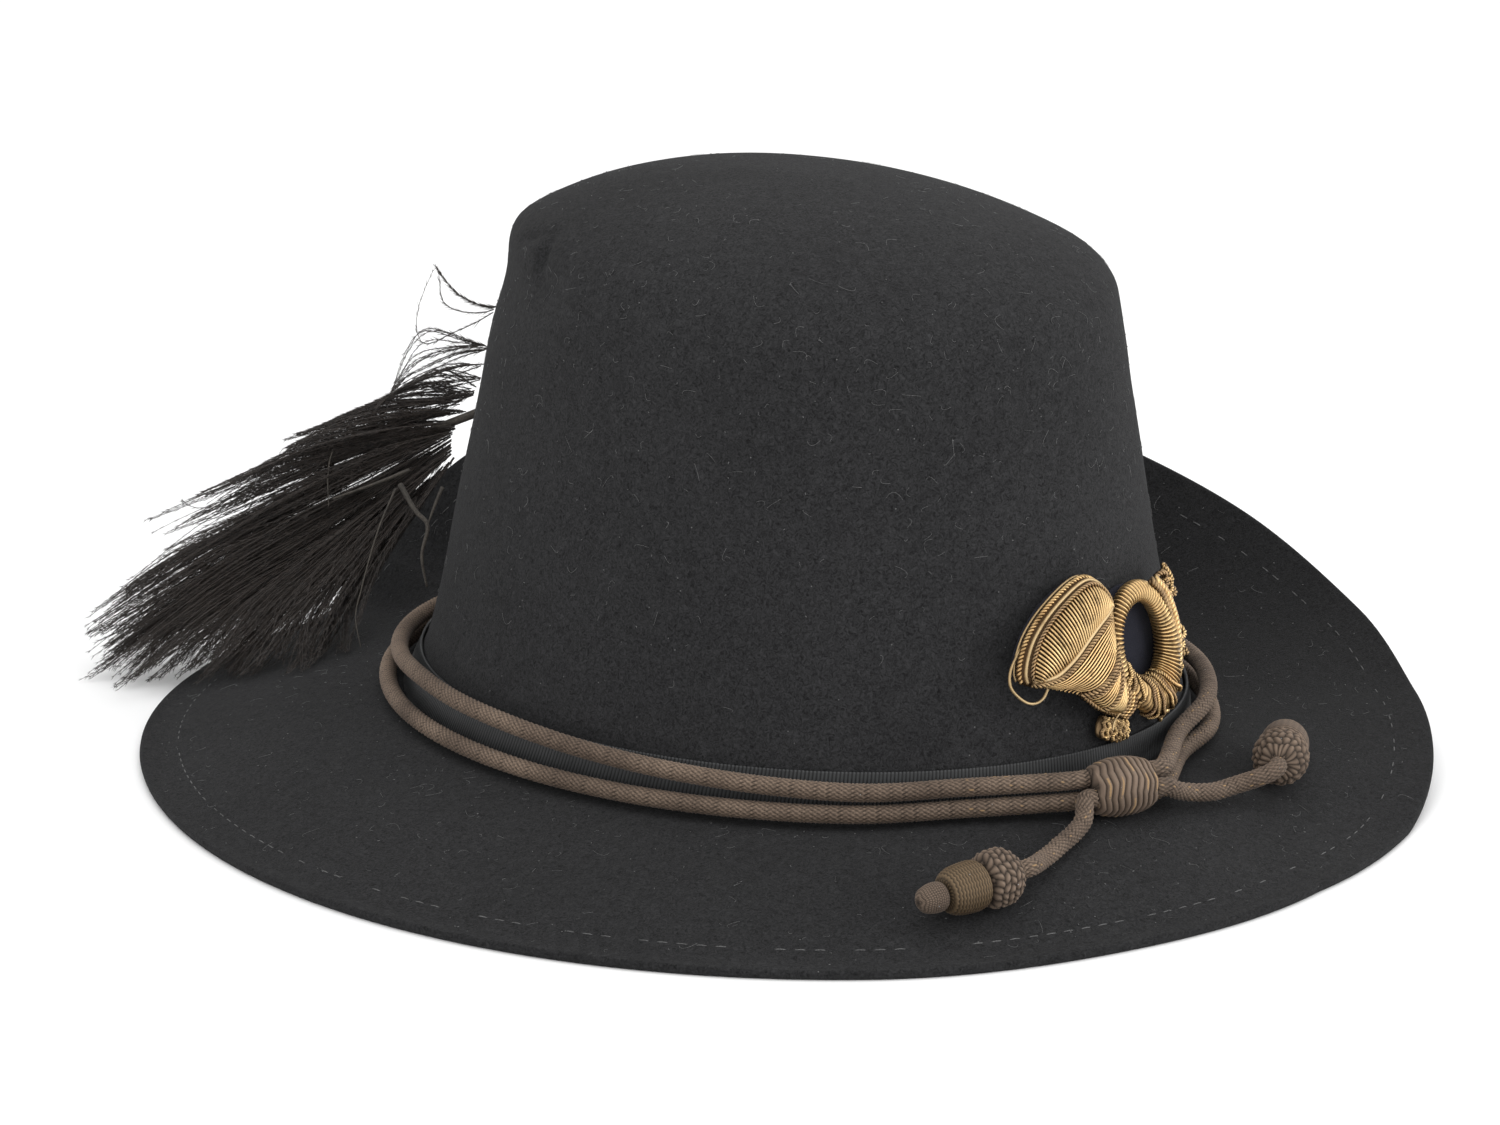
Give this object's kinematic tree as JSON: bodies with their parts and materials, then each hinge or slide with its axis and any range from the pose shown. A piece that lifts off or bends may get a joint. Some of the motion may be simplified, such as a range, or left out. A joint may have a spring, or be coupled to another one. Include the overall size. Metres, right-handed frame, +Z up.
{
  "type": "hardee hat",
  "caption": "Tall black felt dress hat with a wide brim looped up on one side, a ribbon band, a brown cord with acorn ends, a bullion bugle horn badge and a black plume.",
  "frame": {"origin": "on the surface that the hat rests on, under the middle of the hat's box without its free cord ends", "axes": "+Z up, -Y towards the front of the hat, +X towards the wearer's left, where the brim is looped up"},
  "size_m": [0.3008, 0.3406, 0.1468],
  "materials": {
    "felt": "matte black wool felt, slightly faded, with light lint",
    "ribbon": "ribbed black silk ribbon",
    "cord": "faded brown braided cord",
    "bullion": "aged gold bullion wire, stitched",
    "velvet": "dark blue-black velvet",
    "feather": "black ostrich feather with a brown cast",
    "wire": "black japanned wire"
  },
  "bodies": {
    "root": {"felt_body": "felt", "hat_band": "ribbon", "cord_lower": "cord", "cord_upper": "cord", "slide_knot": "cord", "tail_near": "cord", "acorn_cap_near": "cord", "acorn_nut_near": "cord", "acorn_tip_near": "cord", "tail_far": "cord", "acorn_cap_far": "cord", "acorn_nut_far": "cord", "acorn_tip_far": "cord", "badge_backing": "velvet", "horn_bell": "bullion", "horn_coil": "bullion", "horn_tassel": "bullion", "horn_side_cord": "bullion", "plume": "feather", "brim_hook": "wire"}
  },
  "joints": []
}
